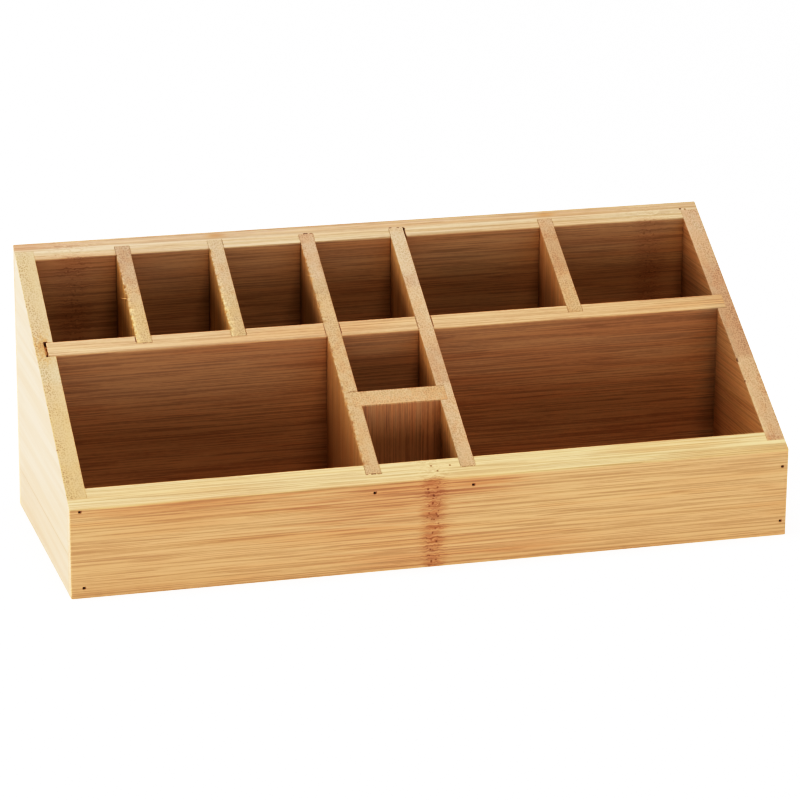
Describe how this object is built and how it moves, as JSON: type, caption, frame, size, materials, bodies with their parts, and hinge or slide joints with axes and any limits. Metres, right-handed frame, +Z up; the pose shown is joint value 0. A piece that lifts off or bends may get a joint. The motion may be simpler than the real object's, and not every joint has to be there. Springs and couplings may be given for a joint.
{
  "type": "desk organizer",
  "caption": "Sloped bamboo desk organizer: a low front and high back box with a back row of upright cells, two wide front trays and small centre cells.",
  "frame": {"origin": "middle of the underside, where the organizer rests on the desk", "axes": "+X to the right along the front, +Y from the front to the back, +Z up"},
  "size_m": [0.38, 0.15, 0.1435],
  "materials": {
    "bamboo_front": "sanded bamboo, clear satin lacquer, long grain left to right, one node band",
    "bamboo_back": "sanded bamboo, clear satin lacquer, long grain left to right",
    "bamboo_side": "sanded bamboo, clear satin lacquer, grain front to back",
    "bamboo_side_lower": "sanded bamboo, clear satin lacquer, grain front to back",
    "bamboo_middle": "sanded bamboo, clear satin lacquer, long grain left to right",
    "bamboo_divider": "sanded bamboo, clear satin lacquer",
    "bamboo_base": "sanded bamboo board, unlacquered underside",
    "brad_steel": "dull steel wire brad, set below the surface"
  },
  "bodies": {
    "root": {"front_panel": "bamboo_front", "back_panel": "bamboo_back", "left_side_upper": "bamboo_side", "left_side_lower": "bamboo_side_lower", "right_side_upper": "bamboo_side", "right_side_lower": "bamboo_side_lower", "middle_divider": "bamboo_middle", "centre_divider_left": "bamboo_divider", "centre_divider_right": "bamboo_divider", "cross_divider": "bamboo_divider", "back_divider_1": "bamboo_divider", "back_divider_2": "bamboo_divider", "back_divider_3": "bamboo_divider", "base_panel": "bamboo_base", "front_brads": "brad_steel", "back_brads": "brad_steel", "base_brads": "brad_steel"}
  },
  "joints": []
}
